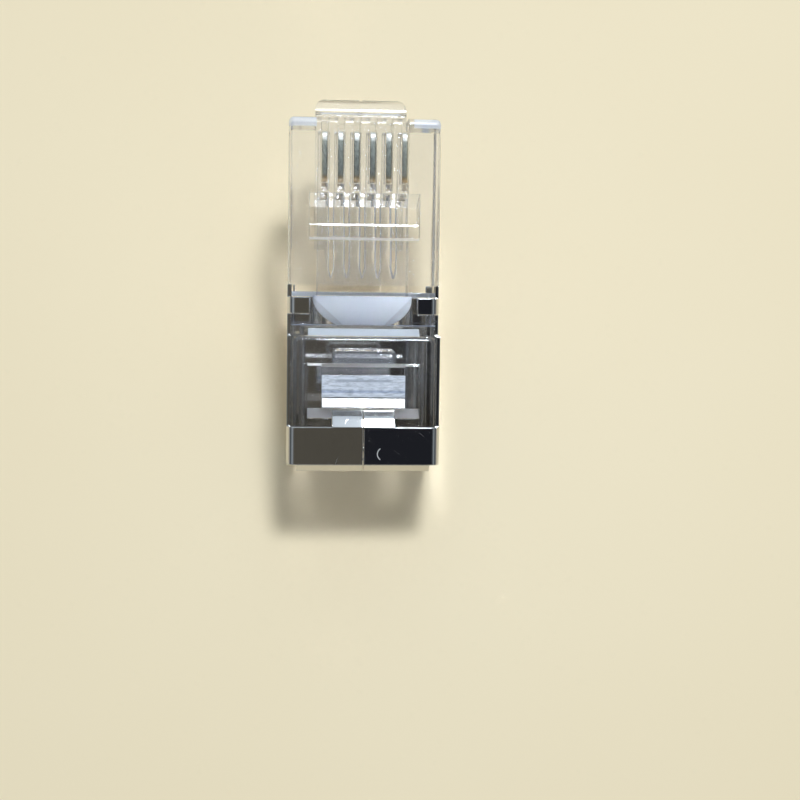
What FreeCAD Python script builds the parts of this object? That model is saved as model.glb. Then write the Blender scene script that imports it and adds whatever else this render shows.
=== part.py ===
import FreeCAD, Part
import math
import os
import re

import Sketcher

# Driving dimensions in millimetres and degrees. The plug is drawn level, with its nose at Y = 0 and its
# contact side up. Its cable end points along -Y, and the underside of its body is at Z = 0.
SIZES = {
    # Housing, outside
    "body_width": 9.65,
    "body_height": 6.6,
    "housing_length": 21.6,
    "bare_length": 10.55,
    "block_length": 7.85,
    "block_ramp": 0.55,
    "block_corner": 0.5,
    "nose_round": 0.45,
    "nose_chamfer": 0.45,
    "edge_round": 0.35,
    "belly_round": 0.2,
    # Cable cavity and wire throat
    "cable_width": 8.0,
    "cable_height": 6.2,
    "cable_corner": 0.3,
    "cable_floor": 0.55,
    "cable_roof": 0.95,
    "throat_radius": 3.35,
    "throat_length": 1.95,
    "throat_floor_length": 1.1,
    "throat_draft": 4.0,
    # Conductor channels
    "nose_wall": 0.75,
    "channel_floor": 1.75,
    "channel_height": 1.9,
    "channel_margin": 0.1,
    "rib_thickness": 0.3,
    "rib_length": 9.35,
    "rib_point": 0.65,
    "channel_round": 0.25,
    # Contact slots
    "contact_pitch": 1.02,
    "slot_length": 4.6,
    "slot_sill": 4.7,
    # Contact blades
    "blade_thickness": 0.36,
    "blade_clearance": 0.03,
    "blade_setback": 0.8,
    "blade_length": 3.2,
    "blade_crown": 6.2,
    "blade_foot": 4.95,
    "crown_round": 0.42,
    "tine_width": 1.0,
    "tine_gap": 0.15,
    # Conductor clamp trough
    "trough_setback": 0.15,
    "trough_length": 1.9,
    "trough_width": 7.0,
    "trough_depth": 2.0,
    "trough_slope": 0.75,
    "trough_step_length": 0.9,
    "trough_step_depth": 0.25,
    "trough_break": 0.16,
    "trough_break_drop": 0.055,
    # Jacket clamp window and bar
    "rear_wall": 2.65,
    "window_length": 3.45,
    "window_width": 7.1,
    "window_front_slope": 0.2,
    "window_rear_slope": 0.55,
    "window_dip": 0.24,
    "window_break": 0.4,
    "clamp_width": 5.3,
    "clamp_web_length": 0.75,
    "clamp_web": 0.3,
    "clamp_web_drop": 0.35,
    "clamp_flat": 1.4,
    "clamp_notch": 0.12,
    "clamp_facet": 0.65,
    "clamp_facet_rise": 0.28,
    "clamp_drop": 0.2,
    "thumb_recess_width": 4.0,
    "thumb_recess_length": 0.95,
    "thumb_recess_depth": 0.3,
    "thumb_recess_round": 0.4,
    "thumb_recess_draft": 30.0,
    # Latch and its knuckle
    "latch_width": 6.1,
    "latch_length": 12.8,
    "latch_drop": 4.3,
    "latch_thickness": 0.9,
    "tail_thickness": 0.8,
    "tail_width": 3.25,
    "tail_round": 0.35,
    "shoulder_setback": 8.1,
    "knuckle_reach": 1.95,
    "knuckle_gap": 0.7,
    "knuckle_round": 1.1,
    "knuckle_fillet": 0.28,
    "knuckle_corner": 0.75,
    "gate_radius": 0.14,
    # Shield
    "sheet": 0.25,
    "sheet_clearance": 0.02,
    "sheet_bend": 0.5,
    "wall_drop": 0.3,
    "shield_overhang": 0.3,
    "collar_length": 2.4,
    "floor_setback": 0.45,
    "seam_gap": 0.06,
    "finger_setback": 0.8,
    "finger_length": 1.05,
    "finger_reach": 1.4,
    "lip_reach": 0.42,
    "lip_drop": 0.4,
    "lip_width": 8.4,
    "tongue_width": 1.95,
    "tongue_reach": 0.45,
}
CONTACTS = 6
OVERSHOOT = 2.0  # how far a cutting outline runs past the face that it opens
CORNER_RUN = 1.5  # how far an outline follows a face past a rounded corner, in radii of that corner

# Sizes that follow from the driving ones, as formulas. A place along the plug is a distance from the nose.
CABLE_MIDDLE = "(cable_floor + cable_height / 2)"
CABLE_TOP = "(cable_floor + cable_height)"
BLOCK_HEIGHT = f"({CABLE_TOP} + cable_roof)"
BLOCK_FRONT = "(housing_length - block_length)"
RAMP_FRONT = f"({BLOCK_FRONT} - block_ramp)"
THROAT_FRONT = f"({RAMP_FRONT} - throat_length)"
CHANNEL_ROOF = "(channel_floor + channel_height)"
CHANNEL_WIDTH = f"({CONTACTS} * contact_pitch - 2 * channel_margin)"
SLOT_WIDTH = "(blade_thickness + 2 * blade_clearance)"
BLADE_BACK = "(blade_setback + blade_length)"
TROUGH_FRONT = "(slot_length + trough_setback)"
TROUGH_BACK = f"({TROUGH_FRONT} + trough_length)"
TROUGH_FLOOR = "(body_height - trough_depth)"
WINDOW_BACK = "(housing_length - rear_wall)"
WINDOW_FRONT = f"({WINDOW_BACK} - window_length)"
CLAMP_FRONT = f"({WINDOW_FRONT} + clamp_web_length)"
CLAMP_TOP = f"({BLOCK_HEIGHT} - clamp_drop)"
WEB_TOP = f"({BLOCK_HEIGHT} - clamp_web_drop)"
HINGE_REACH = "(knuckle_reach - latch_thickness)"
HINGE_HEIGHT = "(-knuckle_gap / 2)"
SHIELD_BACK = "(housing_length + shield_overhang)"
SHIELD_WIDTH = "(body_width + 2 * sheet_clearance)"
SEAT_WIDTH = f"({SHIELD_WIDTH} - 2 * sheet - 2 * sheet_clearance)"
SHEET_BELOW = "(sheet + sheet_clearance)"
COLLAR_TOP = f"({BLOCK_HEIGHT} + sheet + sheet_clearance)"
COLLAR_FRONT = f"({SHIELD_BACK} - collar_length)"
FINGER_FRONT = "(bare_length + finger_setback)"
FINGER_BACK = f"({FINGER_FRONT} + finger_length)"
FINGER_INSIDE = f"({SHIELD_WIDTH} / 2 - finger_reach)"
THROUGH = "(4 * body_width)"  # the length of a cut that goes right through the plug
SLANT = "(0.7 * sheet)"  # how far the thickness of a flange bent at about 45 degrees reaches each way
SLANT_REST = "(0.3 * sheet)"

os.makedirs("parts", exist_ok=True)
doc = FreeCAD.newDocument("shielded_modular_plug")
sizes = doc.addObject("Spreadsheet::Sheet", "sizes")
for row, (name, size) in enumerate(SIZES.items(), start=1):
    sizes.set(f"A{row}", name)
    sizes.set(f"B{row}", str(size))
    sizes.setAlias(f"B{row}", name)
doc.recompute()


def formula(text):
    """Points each size named in a formula at its cell."""
    return re.sub(r"[a-z]\w+", lambda word: f"sizes.{word[0]}" if word[0] in SIZES else word[0], str(text))


def number(text):
    """The present value of a formula."""
    return float(sizes.evalExpression(formula(text)))


def same(first, second):
    return math.isclose(first, second, abs_tol=1e-6)


def origin_part(body, role):
    return next(part for part in body.Origin.OriginFeatures if part.Role == role)


def new_body(label):
    body = doc.addObject("PartDesign::Body", label)
    body.Label = label
    return body


def new_sketch(body, label, plane, offset=None):
    """An empty sketch on one of the body's origin planes, moved along that plane's normal."""
    sketch = body.newObject("Sketcher::SketchObject", f"{body.Label}_{label}")
    sketch.AttachmentSupport = [(origin_part(body, plane), "")]
    sketch.MapMode = "FlatFace"
    if offset is not None:
        sketch.setExpression("AttachmentOffset.Base.z", formula(offset))
    return sketch


def fix_point(sketch, geometry, end, across, up):
    """Dimensions a point from the sketch's origin."""
    for kind, text in (("DistanceX", across), ("DistanceY", up)):
        index = sketch.addConstraint(Sketcher.Constraint(kind, -1, 1, geometry, end, number(text)))
        sketch.setExpression(f"Constraints[{index}]", formula(text))


def corner_arc(before, corner, after, radius):
    """The arc that rounds a corner: its two ends in running order, its geometry, and whether it runs on."""
    to_before = (before - corner).normalize()
    to_after = (after - corner).normalize()
    half_turn = to_before.getAngle(to_after) / 2
    reach = radius / math.tan(half_turn)
    middle = corner + (to_before + to_after).normalize() * (radius / math.sin(half_turn))
    ends = [corner + to_before * reach, corner + to_after * reach]
    angles = [math.atan2(end.y - middle.y, end.x - middle.x) for end in ends]
    runs_on = to_before.cross(to_after).z < 0
    first, last = angles if runs_on else reversed(angles)
    circle = Part.Circle(middle, FreeCAD.Vector(0, 0, 1), radius)
    return ends, Part.ArcOfCircle(circle, first, last), runs_on


def add_loop(sketch, corners):
    """A closed run of straight lines through corners (across, up) or (across, up, radius)."""
    places = [FreeCAD.Vector(number(corner[0]), number(corner[1]), 0) for corner in corners]
    count = len(corners)
    rounds = {}
    starts = list(places)
    stops = list(places)
    for index, corner in enumerate(corners):
        if len(corner) == 3:
            around = places[index - 1], places[index], places[(index + 1) % count]
            ends, arc, runs_on = corner_arc(*around, number(corner[2]))
            stops[index], starts[index] = ends
            rounds[index] = (arc, runs_on)
    lines = [
        sketch.addGeometry(Part.LineSegment(starts[index], stops[(index + 1) % count]), False)
        for index in range(count)
    ]
    for index, corner in enumerate(corners):
        line_in = lines[index - 1]
        line_out = lines[index]
        if index not in rounds:
            sketch.addConstraint(Sketcher.Constraint("Coincident", line_in, 2, line_out, 1))
            fix_point(sketch, line_out, 1, corner[0], corner[1])
            continue
        arc, runs_on = rounds[index]
        bend = sketch.addGeometry(arc, False)
        first, last = (1, 2) if runs_on else (2, 1)
        point = sketch.addGeometry(Part.Point(places[index]), True)
        fix_point(sketch, point, 1, corner[0], corner[1])
        sketch.addConstraint(Sketcher.Constraint("PointOnObject", point, 1, line_in))
        sketch.addConstraint(Sketcher.Constraint("PointOnObject", point, 1, line_out))
        sketch.addConstraint(Sketcher.Constraint("Tangent", line_in, 2, bend, first))
        sketch.addConstraint(Sketcher.Constraint("Tangent", bend, last, line_out, 1))
        size = sketch.addConstraint(Sketcher.Constraint("Radius", bend, number(corner[2])))
        sketch.setExpression(f"Constraints[{size}]", formula(corner[2]))


def add_circle(sketch, across, up, radius):
    middle = FreeCAD.Vector(number(across), number(up), 0)
    circle = sketch.addGeometry(Part.Circle(middle, FreeCAD.Vector(0, 0, 1), number(radius)), False)
    fix_point(sketch, circle, 3, across, up)
    size = sketch.addConstraint(Sketcher.Constraint("Radius", circle, number(radius)))
    sketch.setExpression(f"Constraints[{size}]", formula(radius))


def extrude(body, kind, sketch, length, side="One side", reverse=False, taper=None):
    """Pads or pockets a sketch and returns the feature."""
    feature = body.newObject(f"PartDesign::{kind}", f"{sketch.Label}_{kind.lower()}")
    feature.Profile = sketch
    feature.setExpression("Length", formula(length))
    feature.SideType = side
    feature.Reversed = reverse
    if taper is not None:
        feature.setExpression("TaperAngle", formula(taper))
    return feature


def side_feature(body, kind, label, width, corners, offset=None):
    """A side outline, drawn as (along, up), made as wide as given about its own plane."""
    sketch = new_sketch(body, label, "YZ_Plane", offset)
    add_loop(sketch, corners)
    return extrude(body, kind, sketch, width, side="Symmetric")


def row_across(body, feature, length, count):
    """Repeats a feature along +X."""
    pattern = body.newObject("PartDesign::LinearPattern", f"{feature.Label}_row")
    pattern.Originals = [feature]
    pattern.Direction = (origin_part(body, "X_Axis"), [""])
    pattern.setExpression("Length", formula(length))
    pattern.Occurrences = count
    body.Tip = pattern
    return pattern


def round_edges(body, label, radius, wanted):
    """Rounds the edges of the body's present shape whose middle passes the test."""
    doc.recompute()
    base = body.Tip
    names = [
        f"Edge{index}"
        for index, edge in enumerate(base.Shape.Edges, start=1)
        if wanted(edge.valueAt((edge.FirstParameter + edge.LastParameter) / 2))
    ]
    fillet = body.newObject("PartDesign::Fillet", f"{body.Label}_{label}")
    fillet.Base = (base, names)
    fillet.setExpression("Radius", formula(radius))
    return fillet


def rectangle(low, high):
    """The corners of a rectangle between two opposite ones."""
    return [(low[0], low[1]), (high[0], low[1]), (high[0], high[1]), (low[0], high[1])]


def rounded_rectangle(low, high, radius):
    return [(*corner, radius) for corner in rectangle(low, high)]


def both_sides(sketch, low, high):
    """A rectangle on the +X side and its mirror image."""
    add_loop(sketch, rectangle(low, high))
    add_loop(sketch, rectangle((f"-({low[0]})", low[1]), (f"-({high[0]})", high[1])))


def knuckle_corners(body):
    """Rounds the front corners of the knuckle in plan, and nicks its middle where the gate was broken off."""
    sketch = new_sketch(body, "knuckle_plan", "XY_Plane")
    half = "latch_width / 2"
    back = f"knuckle_reach - {CORNER_RUN} * knuckle_corner"
    for sign in ("", "-1 * "):
        outside = f"{sign}({half} + {OVERSHOOT})"
        inside = f"{sign}({half} - {CORNER_RUN} * knuckle_corner)"
        add_loop(
            sketch,
            [
                (f"{sign}({half})", back),
                (outside, back),
                (outside, f"knuckle_reach + {OVERSHOOT}"),
                (inside, f"knuckle_reach + {OVERSHOOT}"),
                (inside, "knuckle_reach"),
                (f"{sign}({half})", "knuckle_reach", "knuckle_corner"),
            ],
        )
    add_circle(sketch, "0", "knuckle_reach", "gate_radius")
    extrude(body, "Pocket", sketch, THROUGH, side="Symmetric")


def make_core():
    """The space that the moulding tool's core leaves: cable cavity, wire throat and conductor channels."""
    body = new_body("cavity_core")
    cable = new_sketch(body, "cable", "XZ_Plane", f"housing_length + {OVERSHOOT}")
    low = ("-cable_width / 2", "cable_floor")
    high = ("cable_width / 2", CABLE_TOP)
    add_loop(cable, rounded_rectangle(low, high, "cable_corner"))
    extrude(body, "Pad", cable, f"housing_length + {OVERSHOOT} - {RAMP_FRONT}", reverse=True)
    throat = new_sketch(body, "throat", "XZ_Plane", RAMP_FRONT)
    add_circle(throat, "0", CABLE_MIDDLE, "throat_radius")
    extrude(body, "Pad", throat, "throat_length", reverse=True, taper="-throat_draft")
    slope = [
        (f"-{RAMP_FRONT}", CABLE_TOP),
        (f"-{THROAT_FRONT}", CHANNEL_ROOF),
        (f"-{THROAT_FRONT} + {OVERSHOOT}", CHANNEL_ROOF),
        (f"-{THROAT_FRONT} + {OVERSHOOT}", f"{CABLE_TOP} + {OVERSHOOT}"),
        (f"-{RAMP_FRONT}", f"{CABLE_TOP} + {OVERSHOOT}"),
    ]
    side_feature(body, "Pocket", "throat_roof", THROUGH, slope)
    floor = [
        (f"-{THROAT_FRONT} - throat_floor_length", "cable_floor"),
        (f"-{RAMP_FRONT}", "cable_floor"),
        (f"-{RAMP_FRONT}", f"cable_floor - {OVERSHOOT}"),
        (f"-{THROAT_FRONT} + {OVERSHOOT}", f"cable_floor - {OVERSHOOT}"),
        (f"-{THROAT_FRONT} + {OVERSHOOT}", "channel_floor"),
        (f"-{THROAT_FRONT}", "channel_floor"),
    ]
    side_feature(body, "Pocket", "throat_floor", THROUGH, floor)
    channel = rectangle((f"-{THROAT_FRONT} - rib_point", "channel_floor"), ("-nose_wall", CHANNEL_ROOF))
    side_feature(body, "Pad", "channel", CHANNEL_WIDTH, channel)
    rib = new_sketch(body, "rib", "XY_Plane", CHANNEL_ROOF)
    middle = f"-({CONTACTS} - 2) / 2 * contact_pitch"
    point = "nose_wall + rib_length"
    add_loop(
        rib,
        [
            (f"{middle} - rib_thickness / 2", "0"),
            (f"{middle} - rib_thickness / 2", f"-({point} - rib_point)"),
            (middle, f"-({point})"),
            (f"{middle} + rib_thickness / 2", f"-({point} - rib_point)"),
            (f"{middle} + rib_thickness / 2", "0"),
        ],
    )
    cut = extrude(body, "Pocket", rib, "channel_height")
    row_across(body, cut, f"({CONTACTS} - 2) * contact_pitch", CONTACTS - 1)
    floor_height = number("channel_floor")
    halfway = -number("nose_wall + (rib_length - rib_point) / 2")
    round_edges(
        body, "channel_floors", "channel_round",
        lambda middle: same(middle.z, floor_height) and abs(middle.y - halfway) < 1.0,
    )
    return body


def cut_contact_slots(body):
    """Six slots, open at the nose and on top, that let the blades down to the channels."""
    over = f"body_height + {OVERSHOOT}"
    corners = [
        (OVERSHOOT, over),
        (OVERSHOOT, "slot_sill"),
        ("-blade_setback + blade_clearance", "slot_sill"),
        ("-blade_setback + blade_clearance", CHANNEL_ROOF),
        (f"-{BLADE_BACK} - blade_clearance", CHANNEL_ROOF),
        (f"-{BLADE_BACK} - blade_clearance", "blade_foot"),
        ("-slot_length", "body_height"),
        ("-slot_length", over),
    ]
    first = f"-({CONTACTS} - 1) / 2 * contact_pitch"
    slot = side_feature(body, "Pocket", "contact_slot", SLOT_WIDTH, corners, offset=first)
    row_across(body, slot, f"({CONTACTS} - 1) * contact_pitch", CONTACTS)


def cut_conductor_clamp(body):
    """The trough above the conductors: its floor is the bar that a crimping tool presses down."""
    over = f"body_height + {OVERSHOOT}"
    step = "body_height - trough_step_depth"
    step_back = f"-{TROUGH_BACK} - trough_step_length"
    corners = [
        (f"-{TROUGH_FRONT}", over),
        (f"-{TROUGH_FRONT}", step),
        (f"-{TROUGH_FRONT} - trough_slope", TROUGH_FLOOR),
        (f"-{TROUGH_BACK}", TROUGH_FLOOR),
        (f"-{TROUGH_BACK}", f"{step} - trough_break_drop"),
        (f"-{TROUGH_BACK} - trough_break", step),
        (step_back, step),
        (step_back, "body_height - trough_break_drop"),
        (f"{step_back} - trough_break", "body_height"),
        (f"{step_back} - trough_break", over),
    ]
    side_feature(body, "Pocket", "trough", "trough_width", corners)


def make_jacket_clamp(body):
    """The window in the raised block, and the wedge bar that hangs in it on a thin web."""
    recess = new_sketch(body, "thumb_recess", "XY_Plane", BLOCK_HEIGHT)
    half = "thumb_recess_width / 2"
    front = f"-{WINDOW_FRONT} + thumb_recess_length"
    add_loop(
        recess,
        [
            (f"-{half}", f"-{WINDOW_FRONT} - clamp_web_length / 2"),
            (half, f"-{WINDOW_FRONT} - clamp_web_length / 2"),
            (half, front, "thumb_recess_round"),
            (f"-{half}", front, "thumb_recess_round"),
        ],
    )
    extrude(body, "Pocket", recess, "thumb_recess_depth", taper="-thumb_recess_draft")
    over = f"{BLOCK_HEIGHT} + {OVERSHOOT}"
    under = f"{CABLE_TOP} - window_break"
    window = [
        (f"-{WINDOW_FRONT}", over),
        (f"-{WINDOW_FRONT}", BLOCK_HEIGHT),
        (f"-{WINDOW_FRONT} - window_front_slope", CABLE_TOP),
        (f"-{WINDOW_FRONT} - window_front_slope", under),
        (f"-{WINDOW_BACK} + window_rear_slope", under),
        (f"-{WINDOW_BACK} + window_rear_slope", CABLE_TOP),
        (f"-{WINDOW_BACK}", BLOCK_HEIGHT),
        (f"-{WINDOW_BACK}", over),
    ]
    side_feature(body, "Pocket", "clamp_window", "window_width", window)
    dip = [
        (f"-{WINDOW_BACK} + window_rear_slope", over),
        (f"-{WINDOW_BACK} + window_rear_slope", CABLE_TOP),
        (f"-{WINDOW_BACK}", f"{BLOCK_HEIGHT} - window_dip - {SLANT_REST}"),
        (f"-{COLLAR_FRONT}", BLOCK_HEIGHT),
        (f"-{COLLAR_FRONT}", over),
    ]
    side_feature(body, "Pocket", "tongue_dip", "2 * tongue_width + seam_gap + 2 * sheet_clearance", dip)
    flat_back = f"({CLAMP_FRONT} + clamp_flat)"
    bar_back = f"({flat_back} + clamp_facet)"
    facet_front = f"{CLAMP_TOP} - clamp_notch"
    corners = [
        (f"-{WINDOW_FRONT} + clamp_web_length", WEB_TOP),
        (f"-{CLAMP_FRONT}", WEB_TOP),
        (f"-{CLAMP_FRONT}", CLAMP_TOP),
        (f"-{flat_back}", CLAMP_TOP),
        (f"-{flat_back}", facet_front),
        (f"-{bar_back}", f"{facet_front} + clamp_facet_rise"),
        (f"-{bar_back}", CABLE_MIDDLE),
        (f"-{CLAMP_FRONT} - clamp_web", f"{WEB_TOP} - clamp_web"),
        (f"-{WINDOW_FRONT} + clamp_web_length", f"{WEB_TOP} - clamp_web"),
    ]
    side_feature(body, "Pad", "clamp_bar", "clamp_width", corners)


def raise_block(body):
    """The taller block round the cable, with a short ramp up to its front."""
    half = f"{SEAT_WIDTH} / 2"
    plan = new_sketch(body, "block_plan", "XY_Plane", "body_height - block_corner")
    corners = [
        (f"-{half}", "-housing_length"),
        (half, "-housing_length"),
        (half, f"-{BLOCK_FRONT}", "block_corner"),
        (f"-{half}", f"-{BLOCK_FRONT}", "block_corner"),
    ]
    add_loop(plan, corners)
    extrude(body, "Pad", plan, f"{BLOCK_HEIGHT} - body_height + block_corner")
    block_top = number(BLOCK_HEIGHT)
    block_back = -number("housing_length")
    round_edges(
        body, "block_edges", "edge_round",
        lambda middle: same(middle.z, block_top) and not same(middle.y, block_back),
    )
    ramp = [
        (f"-{RAMP_FRONT}", "body_height"),
        (f"-{BLOCK_FRONT}", f"{BLOCK_HEIGHT} - edge_round"),
        (f"-{BLOCK_FRONT} - block_corner", f"{BLOCK_HEIGHT} - edge_round"),
        (f"-{BLOCK_FRONT} - block_corner", "body_height - block_corner"),
        (f"-{RAMP_FRONT}", "body_height - block_corner"),
    ]
    side_feature(body, "Pad", "block_ramp", "window_width", ramp)


def make_housing():
    """The clear moulding, with the upper half of the latch's knuckle."""
    body = new_body("housing")
    outline = [
        ("0", "0"),
        ("0", "body_height", "nose_round"),
        ("-housing_length", "body_height"),
        ("-housing_length", "0"),
    ]
    side_feature(body, "Pad", "blank", "body_width", outline)
    blank_side = number("body_width") / 2
    blank_back = -number("housing_length")
    round_edges(
        body, "nose_edges", "edge_round",
        lambda middle: same(abs(middle.x), blank_side)
        and not same(middle.y, blank_back)
        and not same(middle.z, 0),
    )
    seat = new_sketch(body, "shield_seat", "XY_Plane")
    both_sides(
        seat,
        (f"{SEAT_WIDTH} / 2", f"-housing_length - {OVERSHOOT}"),
        (f"body_width / 2 + {OVERSHOOT}", "-bare_length"),
    )
    extrude(body, "Pocket", seat, THROUGH, side="Symmetric")
    round_edges(
        body, "belly_edges", "belly_round",
        lambda middle: same(abs(middle.x), blank_side) and same(middle.z, 0),
    )
    raise_block(body)
    finger_seat = new_sketch(body, "finger_seat", "XY_Plane", "body_height")
    both_sides(
        finger_seat,
        (f"{FINGER_INSIDE} - sheet_clearance", f"-{FINGER_BACK} - sheet_clearance"),
        (f"body_width / 2 + {OVERSHOOT}", f"-{FINGER_FRONT} + sheet_clearance"),
    )
    extrude(body, "Pocket", finger_seat, SHEET_BELOW)
    seat_side = number(SEAT_WIDTH) / 2
    bend_heights = (0, number("body_height") - number(SHEET_BELOW))
    round_edges(
        body, "bend_edges", "sheet_bend - sheet",
        lambda middle: same(abs(middle.x), seat_side) and any(same(middle.z, up) for up in bend_heights),
    )
    cut_conductor_clamp(body)
    make_jacket_clamp(body)
    chamfer = [
        ("-nose_chamfer", "0"),
        ("-nose_chamfer", f"-{OVERSHOOT}"),
        (OVERSHOOT, f"-{OVERSHOOT}"),
        (OVERSHOOT, "nose_chamfer"),
        ("0", "nose_chamfer"),
    ]
    side_feature(body, "Pocket", "nose_chamfer", THROUGH, chamfer)
    knuckle = [
        ("-nose_round", "latch_thickness"),
        ("knuckle_reach", "latch_thickness", "knuckle_round"),
        ("knuckle_reach", HINGE_HEIGHT),
        (HINGE_REACH, HINGE_HEIGHT),
        (HINGE_REACH, "0", "knuckle_fillet"),
        ("-2 * nose_round", "0"),
        ("-2 * nose_round", "latch_thickness"),
    ]
    side_feature(body, "Pad", "knuckle", "latch_width", knuckle)
    knuckle_corners(body)
    cut_contact_slots(body)
    core = make_core()
    hollow = body.newObject("PartDesign::Boolean", "housing_hollow")
    hollow.Type = "Cut"
    hollow.setObjects([core])
    body.Tip = hollow
    return body


def make_latch():
    """The flexing tab: wide as far as its shoulders, then a narrow tail for the finger."""
    body = new_body("latch")
    upper_face = "(-knuckle_gap)"
    corners = [
        (HINGE_REACH, HINGE_HEIGHT),
        ("knuckle_reach", HINGE_HEIGHT),
        ("knuckle_reach", f"{upper_face} - latch_thickness", "knuckle_round"),
        ("-latch_length", "-latch_drop", "tail_round"),
        ("-latch_length", "-latch_drop + tail_thickness", "tail_round"),
        (HINGE_REACH, upper_face, "knuckle_fillet"),
    ]
    side_feature(body, "Pad", "arm", "latch_width", corners)
    sides = new_sketch(body, "tail_sides", "XY_Plane")
    both_sides(
        sides,
        ("tail_width / 2", f"-latch_length - {OVERSHOOT}"),
        (f"latch_width / 2 + {OVERSHOOT}", "-shoulder_setback"),
    )
    extrude(body, "Pocket", sides, THROUGH, side="Symmetric")
    knuckle_corners(body)
    return body


def make_contact(number_in_row):
    """One stamped blade, with a rounded crown and two tines that pierce the conductor."""
    body = new_body(f"contact_{number_in_row}")
    place = f"({number_in_row} - ({CONTACTS} + 1) / 2) * contact_pitch"
    middle = "(blade_setback + blade_length / 2)"
    tip = f"{CHANNEL_ROOF} + tine_gap"
    corners = [
        ("-blade_setback", "blade_crown", "crown_round"),
        ("-blade_setback", "blade_foot"),
        (f"-{middle} + tine_width", "blade_foot"),
        (f"-{middle} + tine_width / 2", tip),
        (f"-{middle}", f"({tip} + blade_foot) / 2"),
        (f"-{middle} - tine_width / 2", tip),
        (f"-{middle} - tine_width", "blade_foot"),
        (f"-{BLADE_BACK}", "blade_foot"),
        (f"-{BLADE_BACK}", "blade_crown", "crown_round"),
    ]
    side_feature(body, "Pad", "blade", "blade_thickness", corners, offset=place)
    return body


def sheet_ring(body, label, top, front, back):
    """A closed band of sheet round the seat, between two places along the plug."""
    ring = new_sketch(body, label, "XZ_Plane", front)
    half = f"{SHIELD_WIDTH} / 2"
    bottom = f"-{SHEET_BELOW}"
    add_loop(ring, rounded_rectangle((f"-{half}", bottom), (half, top), "sheet_bend"))
    inside = f"({half} - sheet)"
    low = (f"-{inside}", f"{bottom} + sheet")
    high = (inside, f"{top} - sheet")
    add_loop(ring, rounded_rectangle(low, high, "sheet_bend - sheet"))
    extrude(body, "Pad", ring, f"{back} - {front}")


def make_shield():
    """The folded sheet: floor, walls, two fingers, and two flaps that meet in a seam."""
    body = new_body("shield")
    sheet_ring(body, "front_band", "body_height", "bare_length", BLOCK_FRONT)
    sheet_ring(body, "rear_band", COLLAR_TOP, BLOCK_FRONT, SHIELD_BACK)
    side_feature(
        body, "Pocket", "floor_front", f"{SHIELD_WIDTH} - 2 * sheet_bend",
        rectangle(("-bare_length - floor_setback", f"-{OVERSHOOT}"), (f"-bare_length + {OVERSHOOT}", "0")),
    )
    over = f"{COLLAR_TOP} + {OVERSHOOT}"
    front_edge = "body_height - wall_drop - sheet"
    rear_edge = f"{BLOCK_HEIGHT} - wall_drop"
    side_feature(
        body, "Pocket", "open_front", THROUGH,
        rectangle((f"-{FINGER_FRONT}", front_edge), (f"-bare_length + {OVERSHOOT}", over)),
    )
    side_feature(
        body, "Pocket", "open_shoulder", THROUGH,
        rectangle((f"-{BLOCK_FRONT}", front_edge), (f"-{FINGER_BACK}", over)),
    )
    side_feature(
        body, "Pocket", "open_middle", f"2 * {FINGER_INSIDE}",
        rectangle((f"-{BLOCK_FRONT}", front_edge), (f"-bare_length + {OVERSHOOT}", over)),
    )
    side_feature(
        body, "Pocket", "open_block", THROUGH,
        rectangle((f"-{COLLAR_FRONT}", rear_edge), (f"-{BLOCK_FRONT}", over)),
    )
    under = f"{COLLAR_TOP} - sheet"
    lip = [
        (f"-{SHIELD_BACK} + sheet", COLLAR_TOP),
        (f"-{SHIELD_BACK}", COLLAR_TOP, "sheet"),
        (f"-{SHIELD_BACK} - lip_reach", f"{COLLAR_TOP} - lip_drop"),
        (f"-{SHIELD_BACK} - lip_reach + {SLANT}", f"{COLLAR_TOP} - lip_drop - {SLANT}"),
        (f"-{SHIELD_BACK} + {SLANT_REST}", under),
        (f"-{SHIELD_BACK} + sheet", under),
    ]
    side_feature(body, "Pad", "lip", "lip_width", lip)
    crease = f"{COLLAR_TOP} - window_dip"
    tongue_tip = f"-{WINDOW_BACK} + tongue_reach"
    dipped = f"window_dip * (1 - {SLANT_REST} / ({COLLAR_FRONT} - {WINDOW_BACK}))"
    tongue = [
        (f"-{COLLAR_FRONT} - sheet", COLLAR_TOP),
        (f"-{COLLAR_FRONT} - sheet", under),
        (f"-{COLLAR_FRONT}", under),
        (f"-{WINDOW_BACK} - {SLANT_REST}", f"{under} - {dipped}"),
        (f"{tongue_tip} - {SLANT}", f"{crease} - tongue_reach - {SLANT}"),
        (tongue_tip, f"{crease} - tongue_reach"),
        (f"-{WINDOW_BACK}", crease, "sheet"),
        (f"-{COLLAR_FRONT}", COLLAR_TOP),
    ]
    side_feature(body, "Pad", "tongue", "2 * tongue_width + seam_gap", tongue)
    side_feature(
        body, "Pocket", "seam", "seam_gap",
        rectangle((f"-{SHIELD_BACK} - {OVERSHOOT}", CABLE_TOP), (f"-{BLOCK_FRONT}", over)),
    )
    return body


def rest_tilt():
    """How far the nose tips up when the plug lies on the latch's tail and the shield's lower rear edge."""
    rounding = number("tail_round")
    fall = number("latch_drop") - number("knuckle_gap") - number("latch_thickness")
    slope = math.atan2(fall, number("latch_length") + number("knuckle_reach"))
    tail_y = -number("latch_length") + rounding
    tail_z = -number("latch_drop") + rounding * math.tan(slope) + rounding / math.cos(slope)
    edge_y = -number(SHIELD_BACK)
    edge_z = -number(SHEET_BELOW)
    run = tail_y - edge_y
    rise = edge_z - tail_z
    return math.acos(-rounding / math.hypot(run, rise)) - math.atan2(run, rise)


pieces = [make_housing(), make_latch(), make_shield()]
pieces += [make_contact(index) for index in range(1, CONTACTS + 1)]
doc.recompute()

for item in doc.Objects:
    if {"Invalid", "Error"} & set(item.State):
        raise RuntimeError(f"{item.Label} could not be made: {item.State}")
for piece in pieces:
    if piece.Shape.isNull() or not piece.Shape.isValid():
        raise RuntimeError(f"{piece.Label} has no sound shape")

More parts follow.
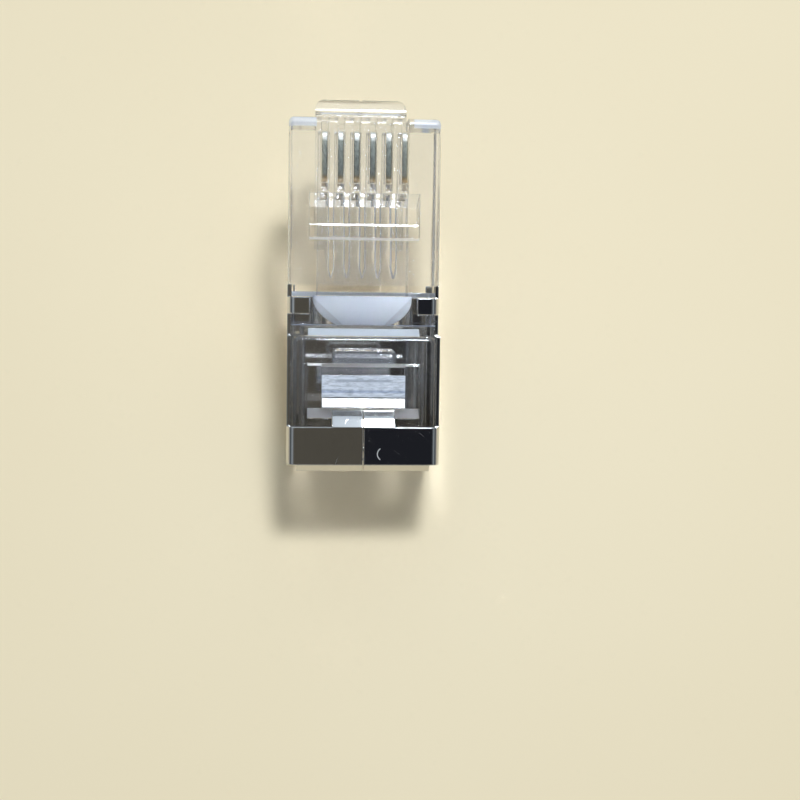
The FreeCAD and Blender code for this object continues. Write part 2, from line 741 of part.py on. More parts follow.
# The plug lies as it comes to rest, over the middle of its own footprint.
tilt = FreeCAD.Rotation(FreeCAD.Vector(1, 0, 0), math.degrees(rest_tilt()))
for piece in pieces:
    piece.Placement = FreeCAD.Placement(FreeCAD.Vector(), tilt)
box = FreeCAD.BoundBox()
for piece in pieces:
    box.add(piece.Shape.optimalBoundingBox(False))
shift = FreeCAD.Vector(-box.Center.x, -box.Center.y, -box.ZMin)
for piece in pieces:
    piece.Placement = FreeCAD.Placement(shift, tilt)
    piece.Shape.exportStep(f"parts/{piece.Label}.step")
print("rest tilt", math.degrees(tilt.Angle), "shift", *shift)
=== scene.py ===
import math

import bmesh
import bpy
from mathutils import Matrix, Vector


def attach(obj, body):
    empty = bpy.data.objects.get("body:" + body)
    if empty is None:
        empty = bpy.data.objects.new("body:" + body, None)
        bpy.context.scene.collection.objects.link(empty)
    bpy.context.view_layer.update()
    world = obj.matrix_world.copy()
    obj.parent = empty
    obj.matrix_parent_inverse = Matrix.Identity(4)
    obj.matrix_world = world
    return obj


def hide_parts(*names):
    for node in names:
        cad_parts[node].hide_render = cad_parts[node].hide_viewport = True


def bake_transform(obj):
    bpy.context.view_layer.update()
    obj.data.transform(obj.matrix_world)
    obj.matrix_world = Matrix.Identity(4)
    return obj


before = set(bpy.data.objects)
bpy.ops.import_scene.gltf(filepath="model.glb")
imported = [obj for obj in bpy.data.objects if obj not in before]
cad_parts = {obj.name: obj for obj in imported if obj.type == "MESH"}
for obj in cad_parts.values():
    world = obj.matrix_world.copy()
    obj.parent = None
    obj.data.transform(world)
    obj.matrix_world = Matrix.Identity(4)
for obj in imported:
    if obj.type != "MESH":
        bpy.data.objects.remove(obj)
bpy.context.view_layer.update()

MM = 0.001

# The plug is described level, in millimetres: nose at y = 0, cable end along -y, underside of the body
# at z = 0. At rest it lies on its latch and on the lower rear edge of its shield, with its nose tipped up.
REST_TILT = math.radians(22.890736766745174)
REST_SHIFT = Vector((0.0, 10.679020680208767, 8.76728983573539))
TO_REST = Matrix.Scale(MM, 4) @ Matrix.Translation(REST_SHIFT) @ Matrix.Rotation(REST_TILT, 4, "X")
TO_LEVEL = TO_REST.inverted()

# Contact blades
CONTACTS = 6
CONTACT_PITCH = 1.02
BLADE_THICKNESS = 0.36
BLADE_FRONT = 0.8
BLADE_BACK = 4.0
BLADE_TOP = 6.2
TINE_ROOT = 4.95
TINE_CLEFT = 4.375
TINE_TIP = 3.8
CROWN_ROUND = 0.42
CROWN_STEPS = 8
EASED_EDGE = 0.05
SHARP_TURN = math.radians(40)

# Living hinge between housing and latch
HINGE_HEIGHT = -0.35
FLUSH = 0.002
WELD = 3e-7  # in metres, as the meshes are

# Faces of the clear moulding. A front or back is a distance from the nose, a half or reach one from the
# middle line, and a top, roof or floor a height above the underside.
BODY_TOP = 6.6
BARE_LENGTH = 10.55
SEAT_STEP = 0.27
SHOULDER_HALF = 3.05
SHOULDER_FRONT = 0.04
SHOULDER_BACK = 0.62
CHANNEL_FLOOR = 1.75
CHANNEL_ROOF = 3.65
RIB_HALF = 0.15
RIB_REACH = 2.3
RIB_FRONT = 5.2
RIB_BACK = 11.0
TROUGH_HALF = 3.5
TROUGH_BACK = 7.54
TROUGH_EDGE_BACK = 7.72
THROAT_FRONT = 11.25
THROAT_BACK = 13.2
THROAT_LOW = 3.65
THROAT_RISE = 3.1 / 1.95
THROAT_CORNER = 3.3
CORNER_LEAN = 1.09
RAMP_BACK = 13.75
RAMP_RISE = 0.75 / 0.55
BLOCK_TOP = 7.7
CABLE_HALF = 4.0
CABLE_ROOF = 6.75
CABLE_CORNER = 0.32
RECESS_HALF = 2.0
RECESS_FRONT = 14.55
RECESS_FLOOR = 7.4
WINDOW_HALF = 3.56
WINDOW_FRONT = 15.5
WINDOW_BACK = 18.95
WINDOW_WALL = 0.24
WINDOW_DIP = 0.6
BAR_HALF = 2.66
BAR_FRONT = 16.24
BAR_BACK = 17.66
BAR_TOP = 7.5
SLIT_MIDDLE = 16.6
SLIT_HALF = 1.6
RIDGE_MIDDLE = 17.28
LINE_HALF = 0.08
FACET_BACK = 18.32
FACET_LOW = 7.3

# How near to a slope a point still lies on it, and how softly a mark on a face ends
ON_FACE = 0.03
OFF_FACE = 0.06
CRISP = 0.005
FADE = 0.01
SOFT = 0.02
BROAD = 0.04

# Shield
FLAP_EDGE = 4.4
FLAP_SPRING = 5.0
PALE_ARC_MIDDLE = (1.3, -21.2)
PALE_ARC_INNER = 0.38
PALE_ARC_OUTER = 0.43

PLASTIC_IOR = 1.58

# Room, in metres
FLOOR_REACH = 1.5
LAMP_AIM = Vector((0, 0, 0.006))
LAMP_COLOUR = (0.90, 0.97, 1.06)
LAMPS = {
    "key_lamp": {"place": (0.035, 0.105, 0.34), "size": 0.06, "power": 0.40},
    "soft_lamp": {"place": (0.06, 0.12, 0.43), "size": 0.12, "power": 0.62},
}
WORLD_STRENGTH = 0.86
CAMERA_PLACE = (-0.004873, -0.036878, 0.092639)
CAMERA_TURN = (18.64145, -4.53451, -1.10276)
CAMERA_LENS = 63.0
CAMERA_SENSOR = 36.0
CAMERA_NEAR = 0.002


class Shade:
    """A socket of a shader. Sums and products of shades add the Math nodes that work them out."""

    def __init__(self, paint, socket):
        self.paint = paint
        self.socket = socket

    def __add__(self, other):
        return self.paint.math("ADD", self, other)

    def __radd__(self, other):
        return self.paint.math("ADD", other, self)

    def __sub__(self, other):
        return self.paint.math("SUBTRACT", self, other)

    def __rsub__(self, other):
        return self.paint.math("SUBTRACT", other, self)

    def __mul__(self, other):
        return self.paint.math("MULTIPLY", self, other)

    def __rmul__(self, other):
        return self.paint.math("MULTIPLY", other, self)

    def __pow__(self, other):
        return self.paint.math("POWER", self, other)

    def __abs__(self):
        return self.paint.math("ABSOLUTE", self)


class Paint:
    """The nodes of one material or of the world."""

    def __init__(self, owner):
        owner.use_nodes = True
        self.tree = owner.node_tree
        self.tree.nodes.clear()

    def node(self, kind, settings=None, inputs=None, output=0):
        made = self.tree.nodes.new(kind)
        for name, setting in (settings or {}).items():
            setattr(made, name, setting)
        for name, value in (inputs or {}).items():
            if isinstance(value, Shade):
                self.tree.links.new(value.socket, made.inputs[name])
            else:
                made.inputs[name].default_value = value
        return Shade(self, made.outputs[output]) if made.outputs else None

    def math(self, operation, *values):
        return self.node("ShaderNodeMath", {"operation": operation}, dict(enumerate(values)))

    def step(self, value, low, high):
        """0 below low, 1 above high, and smooth between them."""
        settings = {"interpolation_type": "SMOOTHSTEP"}
        return self.node("ShaderNodeMapRange", settings, {"Value": value, "From Min": low, "From Max": high})

    def fall(self, value, low, high):
        """1 below low, 0 above high, and smooth between them."""
        return 1 - self.step(value, low, high)

    def band(self, value, low, high, soft):
        """1 between low and high, and 0 outside."""
        return self.step(value, low - soft, low + soft) * self.fall(value, high - soft, high + soft)

    def mix(self, factor, first, second):
        """One colour into another."""
        inputs = {0: factor, 6: first, 7: second}
        return self.node("ShaderNodeMix", {"data_type": "RGBA"}, inputs, output=2)

    def noise(self, place, scale, detail=2.0, roughness=0.5, stretch=None):
        if stretch is not None:
            place = self.node("ShaderNodeMapping", None, {"Vector": place, "Scale": stretch})
        inputs = {"Vector": place, "Scale": scale, "Detail": detail, "Roughness": roughness}
        return self.node("ShaderNodeTexNoise", {"noise_dimensions": "3D"}, inputs)

    def scratches(self, place, turn, scale, length, low, high):
        """Thin broken lines that run along one direction of the xy plane."""
        turned = self.node("ShaderNodeMapping", None, {"Vector": place, "Rotation": (0, 0, turn)})
        lines = self.noise(turned, scale, 3.0, 0.6, (1.0, 1.0 / length, 1.0 / length))
        return self.step(lines, low, high)

    def level_place(self):
        """Object coordinates turned to the level plug, in millimetres."""
        place = self.node("ShaderNodeTexCoord", None, None, "Object")
        inputs = {
            "Vector": place,
            "Location": TO_LEVEL.translation,
            "Rotation": (-REST_TILT, 0, 0),
            "Scale": (1 / MM, 1 / MM, 1 / MM),
        }
        return self.node("ShaderNodeMapping", {"vector_type": "POINT"}, inputs)

    def split(self, place):
        """The three parts of a vector."""
        parts = self.node("ShaderNodeSeparateXYZ", None, {"Vector": place})
        return [Shade(self, socket) for socket in parts.socket.node.outputs]

    def toward(self, place, direction, near, far):
        """1 within one angle of a direction, in degrees, and 0 beyond another."""
        inputs = {0: place, 1: Vector(direction).normalized()}
        facing = self.node("ShaderNodeVectorMath", {"operation": "DOT_PRODUCT"}, inputs, "Value")
        return self.step(facing, math.cos(math.radians(far)), math.cos(math.radians(near)))

    def soft_edge(self, radius, height, depth):
        """The normal of a surface with rounded edges, whose face is as rough as a height says."""
        edge = self.node("ShaderNodeBevel", {"samples": 6}, {"Radius": radius * MM})
        inputs = {"Strength": 1.0, "Distance": depth * MM, "Height": height, "Normal": edge}
        return self.node("ShaderNodeBump", None, inputs)

    def cover(self, shader):
        self.node("ShaderNodeOutputMaterial", None, {"Surface": shader})


def new_paint(name):
    material = bpy.data.materials.new(name)
    return material, Paint(material)


class MouldingFaces:
    """Marks for the faces of the clear moulding: each is 1 on its own face and 0 elsewhere."""

    def __init__(self, paint, place):
        self.paint = paint
        self.x, self.y, self.z = paint.split(place)
        self.wide = abs(self.x)

    def along(self, front, back, soft):
        """1 between two distances from the nose."""
        return self.paint.band(self.y, -back, -front, soft)

    def within(self, half, soft=SOFT):
        """1 nearer to the middle line than a distance."""
        return self.paint.fall(self.wide, half, half + soft)

    def on_slope(self, front, low, rise):
        """1 close to a slope that climbs toward the cable end."""
        apart = abs(self.z - low + (self.y + front) * rise)
        return self.paint.fall(apart, ON_FACE, OFF_FACE)

    def knuckle(self):
        return self.paint.step(self.y, 0.02, 0.06)

    def bare_body(self):
        """The half that the shield leaves bare."""
        return self.paint.step(self.y, -BARE_LENGTH - 0.1, -BARE_LENGTH + 0.1)

    def shoulder(self):
        """The rounded edge of the nose, beside the slots, where the frosted finish paints a white highlight.
        """
        high = self.paint.step(self.z, BODY_TOP - 0.35, BODY_TOP - 0.3)
        outer = self.paint.step(self.wide, SHOULDER_HALF, SHOULDER_HALF + 0.06)
        return outer * high * self.along(SHOULDER_FRONT, SHOULDER_BACK, BROAD)

    def rib_walls(self):
        # The frosted finish on the rib walls paints pale lines of light.
        apart = self.paint.math("PINGPONG", self.x, CONTACT_PITCH / 2)
        rib = self.paint.fall(apart, RIB_HALF + 0.01, RIB_HALF + 0.03)
        rib = rib * self.within(RIB_REACH) * self.along(RIB_FRONT, RIB_BACK, SOFT)
        return rib * self.paint.band(self.z, CHANNEL_FLOOR + 0.15, CHANNEL_ROOF - 0.05, SOFT)

    def trough_edge(self):
        """The step behind the trough."""
        high = self.paint.step(self.z, BODY_TOP - 0.08, BODY_TOP - 0.06)
        return self.along(TROUGH_BACK, TROUGH_EDGE_BACK, CRISP) * self.within(TROUGH_HALF) * high

    def seat_line(self):
        """The underside under the throat's front, where the shield's floor shows through; the frosted finish
        paints a pale line of light there.
        """
        low = self.paint.fall(self.z, SEAT_STEP + 0.04, SEAT_STEP + 0.08)
        return low * self.along(THROAT_FRONT - 0.26, THROAT_FRONT + 0.1, SOFT)

    def throat(self):
        # The throat's lavender tint is painted light.
        slope = self.on_slope(THROAT_FRONT, THROAT_LOW, THROAT_RISE)
        return slope * self.along(THROAT_FRONT, THROAT_BACK, FADE)

    def throat_corner_painted_shade(self):
        """The two sides of the throat, which narrow toward the cable, where painted shade darkens its
        corners.
        """
        lean = (self.y + THROAT_FRONT) * CORNER_LEAN
        return self.paint.step(self.wide - THROAT_CORNER - lean, -0.08, 0.08)

    def ramp(self):
        # The ramp's pale blue-white is painted light.
        slope = self.on_slope(THROAT_BACK, BODY_TOP, RAMP_RISE)
        return slope * self.along(THROAT_BACK, RAMP_BACK, FADE) * self.within(WINDOW_HALF - 0.06, BROAD)

    def cable_walls(self):
        """The two sides of the cable space."""
        side = self.paint.band(self.wide, CABLE_HALF - CABLE_CORNER, CABLE_HALF + 0.03, FADE)
        side = side * self.paint.fall(self.y, -THROAT_BACK - 0.1, -THROAT_BACK)
        return side * self.paint.fall(self.z, CABLE_ROOF - 0.02, CABLE_ROOF + 0.02)

    def recess(self):
        """The thumb recess in front of the window, where the frosted finish paints a soft fill of light."""
        depth = self.paint.band(self.z, RECESS_FLOOR - 0.03, BLOCK_TOP - 0.04, FADE)
        return self.within(RECESS_HALF) * self.along(RECESS_FRONT, WINDOW_FRONT, FADE) * depth

    def window_walls(self):
        """The window's front wall and its rear wall; the rear one is painted dark grey as shade."""
        wall = self.paint.band(self.z, CABLE_ROOF + 0.01, BLOCK_TOP - 0.02, CRISP)
        wall = wall * self.within(WINDOW_HALF - SOFT)
        front = wall * self.along(WINDOW_FRONT - 0.02, WINDOW_FRONT + WINDOW_WALL, FADE)
        rear = wall * self.along(WINDOW_BACK - WINDOW_DIP, WINDOW_BACK + 0.02, FADE)
        return front, rear

    def bar_top(self):
        """The top of the jacket clamp bar, frosted, with a white-lavender colour that is partly painted
        light.
        """
        plan = self.paint.band(self.x, -BAR_HALF, BAR_HALF, FADE) * self.along(BAR_FRONT, BAR_BACK, FADE)
        return plan * self.paint.step(self.z, BAR_TOP - 0.04, BAR_TOP - 0.02)

    def bar_line(self, middle):
        """A fine line across the clamp bar, painted in as shade."""
        return self.along(middle - LINE_HALF, middle + LINE_HALF, BROAD)

    def bar_facet(self):
        """The bright slope behind the clamp bar's top."""
        high = self.paint.step(self.z, FACET_LOW, FACET_LOW + 0.05)
        return self.along(BAR_BACK, FACET_BACK, FADE) * self.within(BAR_HALF) * high


def clear_plastic():
    """Clear moulding, polished and faintly hazy, with a frosted throat and clamp bar and a few matt walls.
    Its frosted patches carry painted light, a blue-lavender tint and pale bands, and painted shade, dark
    corners, a dark wall and dark lines.
    """
    material, paint = new_paint("clear_plastic_polished")
    place = paint.level_place()
    faces = MouldingFaces(paint, place)
    flow = paint.noise(place, scale=0.9, detail=3.0, roughness=0.55)
    grain = paint.noise(place, scale=14.0, detail=4.0, roughness=0.6)
    haze = paint.step(paint.noise(place, scale=1.7, detail=4.0, roughness=0.65), 0.6, 0.85)
    hairs = paint.scratches(place, turn=0.5, scale=9.0, length=14.0, low=0.72, high=0.78)
    coarse = paint.noise(place, scale=4.0, detail=5.0, roughness=0.65, stretch=(0.4, 2.0, 1.0))
    throat = faces.throat()
    bar = faces.bar_top()
    ramp = faces.ramp()
    front_wall, rear_wall = faces.window_walls()

    worn = 0.65 * front_wall + 0.3 * rear_wall + 0.25 * faces.cable_walls() + 0.1 * faces.knuckle()
    worn = worn + 0.55 * faces.trough_edge() + faces.bar_facet() * (0.04 + 0.16 * coarse)
    roughness = 0.01 + 0.02 * haze + 0.04 * hairs + 0.2 * throat + bar * (0.1 + 0.2 * coarse) + worn
    height = 0.05 * flow + 0.02 * grain + 0.03 * hairs + bar * coarse * 12.0
    normal = paint.soft_edge(0.09, height, 0.004)
    clear = paint.node(
        "ShaderNodeBsdfPrincipled",
        None,
        {
            "Base Color": paint.mix(flow, (0.980, 0.981, 0.994, 1), (0.992, 0.993, 0.998, 1)),
            "Roughness": roughness,
            "IOR": PLASTIC_IOR,
            "Transmission Weight": 1.0,
            "Normal": normal,
        },
    )

    # Painted shade: two dark lines across the clamp bar.
    painted_slit_shade = bar * faces.bar_line(SLIT_MIDDLE) * faces.within(SLIT_HALF, 0.4)
    painted_ridge_shade = bar * faces.bar_line(RIDGE_MIDDLE)
    # Painted light and shade: a lavender tint for the throat, darker at its two corners.
    throat_painted_light_and_shade = paint.mix(faces.throat_corner_painted_shade(), (0.24, 0.29, 0.40, 1), (0.18, 0.21, 0.28, 1))
    # The frosted finish's pale blue-lavender tint is painted light.
    frosted_colour_painted_light_and_shade = paint.mix(coarse, (0.68, 0.75, 0.88, 1), (0.90, 0.93, 0.98, 1))
    # Painted shade: the window's rear wall is dark grey.
    frosted_colour_painted_light_and_shade = paint.mix(rear_wall, frosted_colour_painted_light_and_shade, (0.22, 0.23, 0.27, 1))
    frosted_colour_painted_light_and_shade = paint.mix(painted_slit_shade * (0.3 + 0.6 * coarse), frosted_colour_painted_light_and_shade, (0.24, 0.28, 0.36, 1))
    frosted_colour_painted_light_and_shade = paint.mix(painted_ridge_shade * (1.2 - coarse), frosted_colour_painted_light_and_shade, (0.34, 0.42, 0.60, 1))
    # Painted light: the ramp is pale blue-white.
    frosted_colour_painted_light_and_shade = paint.mix(ramp, frosted_colour_painted_light_and_shade, (0.86, 0.93, 1.0, 1))
    frosted_colour_painted_light_and_shade = paint.mix(throat, frosted_colour_painted_light_and_shade, throat_painted_light_and_shade)
    frosted = paint.node(
        "ShaderNodeBsdfPrincipled",
        None,
        {
            "Base Color": frosted_colour_painted_light_and_shade,
            "Roughness": 0.35 + 0.2 * coarse,
            "IOR": PLASTIC_IOR,
            "Specular IOR Level": 0.15,
            "Transmission Weight": 0.08,
            "Normal": normal,
        },
    )

    # How much of the frosted finish shows: a faint haze on the bare body, and painted light and shade on the
    # patches below.
    frost_share_and_painted_light = 0.96 * throat + bar * (0.62 + 0.36 * paint.step(coarse, 0.35, 0.6)) + 0.55 * faces.shoulder()
    frost_share_and_painted_light = frost_share_and_painted_light + 0.7 * rear_wall + 0.5 * ramp + 0.18 * faces.recess() + 0.5 * faces.seat_line()
    frost_share_and_painted_light = frost_share_and_painted_light + 0.36 * faces.rib_walls() + faces.bare_body() * (0.02 + 0.03 * flow)
    paint.cover(paint.node("ShaderNodeMixShader", None, {0: frost_share_and_painted_light, 1: clear, 2: frosted}))
    return material


def nickel_sheet():
    """Bright nickel on folded sheet: nearly a mirror, rolled lengthwise, finely scratched, with one pale
    curved line.
    """
    material, paint = new_paint("nickel_sheet_bright")
    place = paint.level_place()
    x, y, z = paint.split(place)
    rolled = paint.noise(place, scale=6.0, detail=3.0, roughness=0.6, stretch=(6.0, 0.25, 6.0))
    clouds = paint.noise(place, scale=0.7, detail=6.0, roughness=0.7, stretch=(1.0, 0.45, 1.0))
    smudge = paint.step(clouds, 0.4, 0.8)
    hairs = paint.scratches(place, turn=0.35, scale=8.0, length=18.0, low=0.64, high=0.74)
    hairs = hairs + paint.scratches(place, turn=-0.9, scale=10.0, length=18.0, low=0.66, high=0.75)
    # One pale, rougher curved line near a flap.
    ring = paint.math("SQRT", (x - PALE_ARC_MIDDLE[0]) ** 2 + (y - PALE_ARC_MIDDLE[1]) ** 2)
    arc = paint.band(ring, PALE_ARC_INNER, PALE_ARC_OUTER, 0.012) * paint.fall(x, 1.05, 1.12)
    arc = arc * paint.step(z, BLOCK_TOP - 0.1, BLOCK_TOP)
    waves = paint.noise(place, scale=0.22, detail=1.0, roughness=0.5)
    sprung = paint.math("MAXIMUM", FLAP_EDGE - abs(x), 0.0) * paint.step(z, 3.0, 4.0)
    colour = paint.mix(smudge, (0.69, 0.68, 0.66, 1), (0.645, 0.635, 0.615, 1))
    colour = paint.mix(arc, colour, (0.95, 0.95, 0.93, 1))
    roughness = 0.04 + 0.03 * smudge + 0.05 * rolled + 0.2 * hairs + 0.5 * arc
    height = 1.2 * waves + 0.04 * rolled + 0.05 * hairs + 0.3 * arc + FLAP_SPRING * sprung
    sheet = paint.node(
        "ShaderNodeBsdfPrincipled",
        None,
        {
            "Base Color": colour,
            "Metallic": 1.0,
            "Roughness": roughness,
            "Normal": paint.soft_edge(0.1, height, 0.01),
        },
    )
    paint.cover(sheet)
    return material


def contact_plating():
    """Plating on bronze blades: darker along the top, with a painted highlight left bright at the front, warm
    and worn at the back.
    """
    material, paint = new_paint("contact_plating_worn")
    place = paint.level_place()
    y, z = paint.split(place)[1:]
    patches = paint.noise(place, scale=5.0, detail=5.0, roughness=0.75, stretch=(1.6, 0.6, 1.0))
    wear = paint.step(patches, 0.35, 0.65)
    drag = paint.noise(place, scale=12.0, detail=4.0, roughness=0.75, stretch=(2.0, 0.35, 1.0))
    top = paint.step(z, BLADE_TOP - 0.15, BLADE_TOP - 0.02)
    back = paint.fall(y, -3.9, -3.5)
    # Painted highlight: the blade's top stays bright at the crown's front.
    front = paint.step(y, -1.5, -1.3)
    darker_top_with_wear = paint.mix(wear, (0.36, 0.39, 0.35, 1), (0.10, 0.12, 0.10, 1))
    colour = paint.mix(top * (0.7 + 0.3 * drag) * (1 - front), (0.88, 0.88, 0.85, 1), darker_top_with_wear)
    colour = paint.mix(back * (0.35 + 0.55 * wear), colour, (0.52, 0.35, 0.15, 1))
    roughness = 0.22 + 0.2 * drag + 0.12 * top * wear
    bump = {"Strength": 1.0, "Distance": 0.012 * MM, "Height": 0.8 * drag + 0.6 * wear}
    blade = paint.node(
        "ShaderNodeBsdfPrincipled",
        None,
        {
            "Base Color": colour,
            "Metallic": 1.0,
            "Roughness": roughness,
            "Normal": paint.node("ShaderNodeBump", None, bump),
        },
    )
    paint.cover(blade)
    return material


def floor_finish():
    """Pale matt board."""
    material, paint = new_paint("floor_pale")
    place = paint.node("ShaderNodeTexCoord", None, None, "Object")
    cloud = paint.noise(place, scale=30.0, detail=3.0, roughness=0.5)
    colour = paint.mix(cloud, (0.85, 0.695, 0.44, 1), (0.875, 0.73, 0.48, 1))
    board = paint.node("ShaderNodeBsdfPrincipled", None, {"Base Color": colour, "Roughness": 0.55})
    paint.cover(board)
    return material


def everything(skin):
    """All corners, edges and faces of a skin."""
    return skin.verts[:] + skin.edges[:] + skin.faces[:]


def joined_nodes(names):
    """Copies of CAD nodes in one skin, whose corners keep the normals that they had."""
    skin = bmesh.new()
    normals = []
    for name in names:
        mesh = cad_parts[name].data
        skin.from_mesh(mesh)
        normals += [corner.vector.copy() for corner in mesh.corner_normals]
    facing = skin.loops.layers.float_vector.new("facing")
    corners = iter(normals)
    for face in skin.faces:
        for loop in face.loops:
            loop[facing] = next(corners)
    bmesh.ops.remove_doubles(skin, verts=skin.verts, dist=WELD)
    return skin


def mirror_left_half(skin):
    """The half of a skin at -x, mirrored to +x, so that both halves are alike."""
    facing = skin.loops.layers.float_vector["facing"]
    copied = bmesh.ops.duplicate(skin, geom=everything(skin))["geom"]
    mirrored = [item for item in copied if isinstance(item, bmesh.types.BMFace)]
    for vertex in (item for item in copied if isinstance(item, bmesh.types.BMVert)):
        vertex.co.x = -vertex.co.x
    for face in mirrored:
        for loop in face.loops:
            loop[facing].x = -loop[facing].x
    bmesh.ops.reverse_faces(skin, faces=mirrored)
    bmesh.ops.remove_doubles(skin, verts=skin.verts, dist=WELD)


def one_skin(names):
    """Touching CAD nodes, welded into one even skin without the faces that they share."""
    skin = joined_nodes(names)
    middle = {"plane_co": (0, 0, 0), "plane_no": (1, 0, 0)}
    bmesh.ops.bisect_plane(skin, geom=everything(skin), dist=WELD, clear_outer=True, **middle)
    hidden = [
        face for face in skin.faces
        if all(abs((TO_LEVEL @ vertex.co).z - HINGE_HEIGHT) < FLUSH for vertex in face.verts)
    ]
    bmesh.ops.delete(skin, geom=hidden, context="FACES")
    mirror_left_half(skin)
    return skin


def as_mesh(skin, name):
    """A mesh from a skin, shaded with the normals that its corners carry."""
    mesh = bpy.data.meshes.new(name)
    skin.to_mesh(mesh)
    skin.free()
    facing = [item.vector.normalized() for item in mesh.attributes["facing"].data]
    mesh.attributes.remove(mesh.attributes["facing"])
    for polygon in mesh.polygons:
        polygon.use_smooth = True
    mesh.normals_split_custom_set(facing)
    return mesh


def add_object(name, data):
    piece = bpy.data.objects.new(name, data)
    bpy.context.scene.collection.objects.link(piece)
    return piece


def make_moulding():
    """The clear moulding: housing and latch are one piece of plastic, thin enough at the knuckle to bend."""
    moulding = add_object("clear_moulding", as_mesh(one_skin(("housing", "latch")), "clear_moulding"))
    moulding.data.materials.clear()
    moulding.data.materials.append(clear_plastic())
    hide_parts("housing", "latch")
    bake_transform(moulding)


def crown_arc(middle, first, last):
    """A rounded upper corner of the blade, from one angle to another."""
    low = BLADE_TOP - CROWN_ROUND
    turns = [math.radians(first + (last - first) * index / CROWN_STEPS) for index in range(CROWN_STEPS + 1)]
    return [(middle + CROWN_ROUND * math.cos(turn), low + CROWN_ROUND * math.sin(turn)) for turn in turns]


def blade_outline():
    """The blade from the side: two crowned corners above and two pairs of tines below."""
    tines = [
        (-BLADE_FRONT, TINE_ROOT), (-1.4, TINE_ROOT), (-1.9, TINE_TIP), (-2.4, TINE_CLEFT),
        (-2.9, TINE_TIP), (-3.4, TINE_ROOT), (-BLADE_BACK, TINE_ROOT),
    ]
    front = crown_arc(-BLADE_FRONT - CROWN_ROUND, 90, 0)
    back = crown_arc(-BLADE_BACK + CROWN_ROUND, 180, 90)
    return front + tines + back


def same_side(edge):
    """Whether an edge runs round one flat side of the blade."""
    first, last = edge.verts
    return abs(first.co.x - last.co.x) < 1e-6


def blade_mesh():
    """One stamped blade, level, at the middle of the row, with its edges eased."""
    blade = bmesh.new()
    side = blade.faces.new([blade.verts.new((BLADE_THICKNESS / 2, y, z)) for y, z in blade_outline()])
    other = bmesh.ops.extrude_face_region(blade, geom=[side])["geom"]
    moved = [item for item in other if isinstance(item, bmesh.types.BMVert)]
    bmesh.ops.translate(blade, verts=moved, vec=(-BLADE_THICKNESS, 0, 0))
    rims = [edge for edge in blade.edges if same_side(edge)]
    easing = {"offset": EASED_EDGE, "segments": 3, "profile": 0.5, "affect": "EDGES", "clamp_overlap": True}
    bmesh.ops.bevel(blade, geom=rims, **easing)
    bmesh.ops.recalc_face_normals(blade, faces=blade.faces)
    for edge in blade.edges:
        edge.smooth = edge.calc_face_angle(0) < SHARP_TURN
    for face in blade.faces:
        face.smooth = True
    mesh = bpy.data.meshes.new("contact_blade")
    blade.to_mesh(mesh)
    blade.free()
    return mesh


def row_tree():
    """A row of copies of one piece, a pitch apart, from a start."""
    tree = bpy.data.node_groups.new("contact_row", "GeometryNodeTree")
    tree.interface.new_socket("Geometry", in_out="OUTPUT", socket_type="NodeSocketGeometry")
    sockets = {
        name: tree.interface.new_socket(name, in_out="INPUT", socket_type=kind).identifier
        for name, kind in (
            ("Piece", "NodeSocketObject"),
            ("Count", "NodeSocketInt"),
            ("Start", "NodeSocketVector"),
            ("Pitch", "NodeSocketVector"),
            ("Finish", "NodeSocketMaterial"),
        )
    }
    given = tree.nodes.new("NodeGroupInput").outputs
    line = tree.nodes.new("GeometryNodeMeshLine")
    line.mode = "OFFSET"
    piece = tree.nodes.new("GeometryNodeObjectInfo")
    copies = tree.nodes.new("GeometryNodeInstanceOnPoints")
    solid = tree.nodes.new("GeometryNodeRealizeInstances")
    finish = tree.nodes.new("GeometryNodeSetMaterial")
    result = tree.nodes.new("NodeGroupOutput")
    for source, target in (
        (given["Count"], line.inputs["Count"]),
        (given["Start"], line.inputs["Start Location"]),
        (given["Pitch"], line.inputs["Offset"]),
        (given["Piece"], piece.inputs["Object"]),
        (line.outputs["Mesh"], copies.inputs["Points"]),
        (piece.outputs["Geometry"], copies.inputs["Instance"]),
        (copies.outputs["Instances"], solid.inputs["Geometry"]),
        (solid.outputs["Geometry"], finish.inputs["Geometry"]),
        (given["Finish"], finish.inputs["Material"]),
        (finish.outputs["Geometry"], result.inputs["Geometry"]),
    ):
        tree.links.new(source, target)
    return tree, sockets


def make_contacts():
    """Six blades in a row, in place of the plain ones."""
    pattern = add_object("contact_blade_pattern", blade_mesh())
    row = add_object("contact_blades", bpy.data.meshes.new("contact_blades_row"))
    tree, sockets = row_tree()
    nodes = row.modifiers.new("row", "NODES")
    nodes.node_group = tree
    nodes[sockets["Piece"]] = pattern
    nodes[sockets["Count"]] = CONTACTS
    nodes[sockets["Start"]] = (-(CONTACTS - 1) / 2 * CONTACT_PITCH, 0.0, 0.0)
    nodes[sockets["Pitch"]] = (CONTACT_PITCH, 0.0, 0.0)
    nodes[sockets["Finish"]] = contact_plating()
    ready = bpy.context.evaluated_depsgraph_get()
    mesh = bpy.data.meshes.new_from_object(row.evaluated_get(ready), depsgraph=ready)
    row.modifiers.clear()
    row.data = mesh
    mesh.transform(TO_REST)
    bpy.data.objects.remove(pattern)
    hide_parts(*[f"contact_{index}" for index in range(1, CONTACTS + 1)])
    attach(row, "plug")


def dress_shield():
    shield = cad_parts["shield"]
    shield.material_slots[0].material = nickel_sheet()


def lay_floor():
    mesh = bpy.data.meshes.new("floor")
    corners = [(x * FLOOR_REACH, y * FLOOR_REACH, 0) for x, y in ((-1, -1), (1, -1), (1, 1), (-1, 1))]
    mesh.from_pydata(corners, [], [(0, 1, 2, 3)])
    floor = add_object("floor", mesh)
    mesh.materials.append(floor_finish())


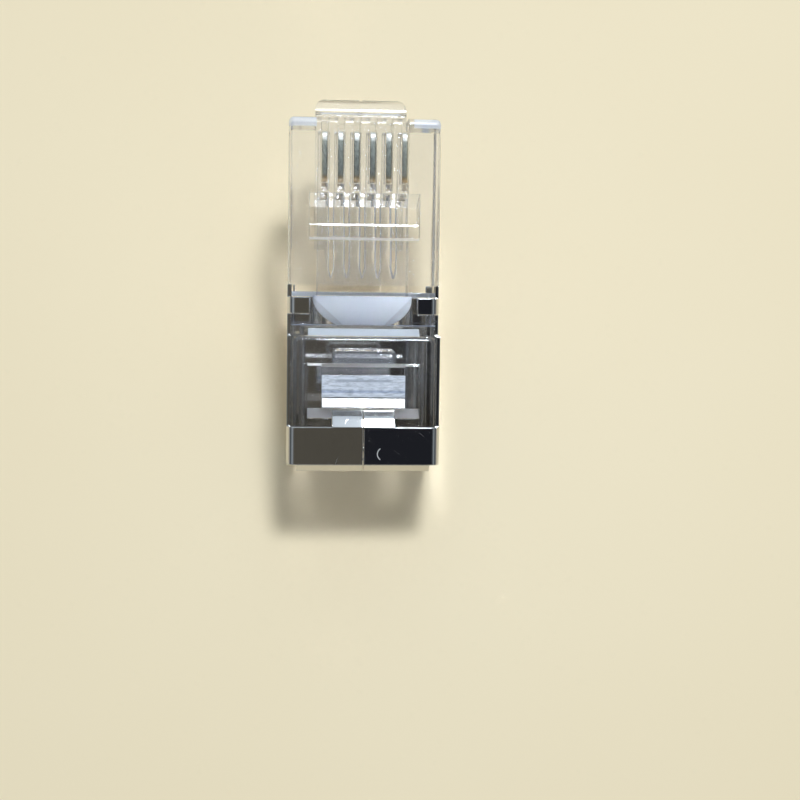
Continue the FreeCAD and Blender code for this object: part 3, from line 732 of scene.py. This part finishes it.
def paint_room():
    """A pale room: bright past the nose, dim at the sides and cable end, dark where the flaps look."""
    world = bpy.data.worlds.new("room")
    bpy.context.scene.world = world
    paint = Paint(world)
    place = paint.node("ShaderNodeTexCoord", None, None, "Generated")
    across, along, up = paint.split(place)
    past_nose = paint.toward(place, (0.1, 0.75, 0.66), near=15, far=60)
    colour = paint.mix(past_nose, (0.71, 0.80, 0.88, 1), (0.82, 0.95, 1.1, 1))
    cable_end = paint.fall(along, -0.6, -0.1)
    colour = paint.mix(cable_end * 0.75, colour, (0.20, 0.22, 0.24, 1))
    sides = paint.step(abs(across), 0.45, 0.8)
    colour = paint.mix(sides * 0.92, colour, (0.06, 0.07, 0.08, 1))
    right = paint.step(across, 0.0, 0.12)
    dark = paint.mix(right, (0.114, 0.106, 0.088, 1), (0.019, 0.021, 0.028, 1))
    above_flaps = paint.toward(place, (0.05, -0.42, 0.905), near=16, far=30)
    colour = paint.mix(above_flaps, colour, dark)
    colour = paint.mix(paint.step(up, 0.12, 0.36), (0.62, 0.58, 0.50, 1), colour)
    glow = paint.node("ShaderNodeBackground", None, {"Color": colour, "Strength": WORLD_STRENGTH})
    paint.node("ShaderNodeOutputWorld", None, {"Surface": glow})


def hang_lamps():
    """A small lamp for the glints and a larger one for the light through the plastic."""
    for name, settings in LAMPS.items():
        lamp = bpy.data.lights.new(name, "AREA")
        lamp.shape = "DISK"
        lamp.size = settings["size"]
        lamp.energy = settings["power"]
        lamp.color = LAMP_COLOUR
        hung = add_object(name, lamp)
        hung.location = settings["place"]
        hung.rotation_euler = (LAMP_AIM - hung.location).to_track_quat("-Z", "Y").to_euler()


def set_camera():
    """The photograph's view: from the cable end, nearly square on to the contact side."""
    lens = bpy.data.cameras.new("camera")
    lens.sensor_width = CAMERA_SENSOR
    lens.lens = CAMERA_LENS
    lens.clip_start = CAMERA_NEAR
    camera = add_object("camera", lens)
    camera.location = CAMERA_PLACE
    camera.rotation_euler = [math.radians(turn) for turn in CAMERA_TURN]
    bpy.context.scene.camera = camera


def set_light_paths():
    """Enough bounces for the clear walls, and no blur of the light that comes through them."""
    scene = bpy.context.scene
    scene.view_settings.view_transform = "Standard"
    scene.cycles.max_bounces = 28
    scene.cycles.transmission_bounces = 28
    scene.cycles.glossy_bounces = 10
    scene.cycles.sample_clamp_indirect = 60.0
    scene.cycles.blur_glossy = 0.0


make_moulding()
make_contacts()
dress_shield()
lay_floor()
paint_room()
hang_lamps()
set_camera()
set_light_paths()
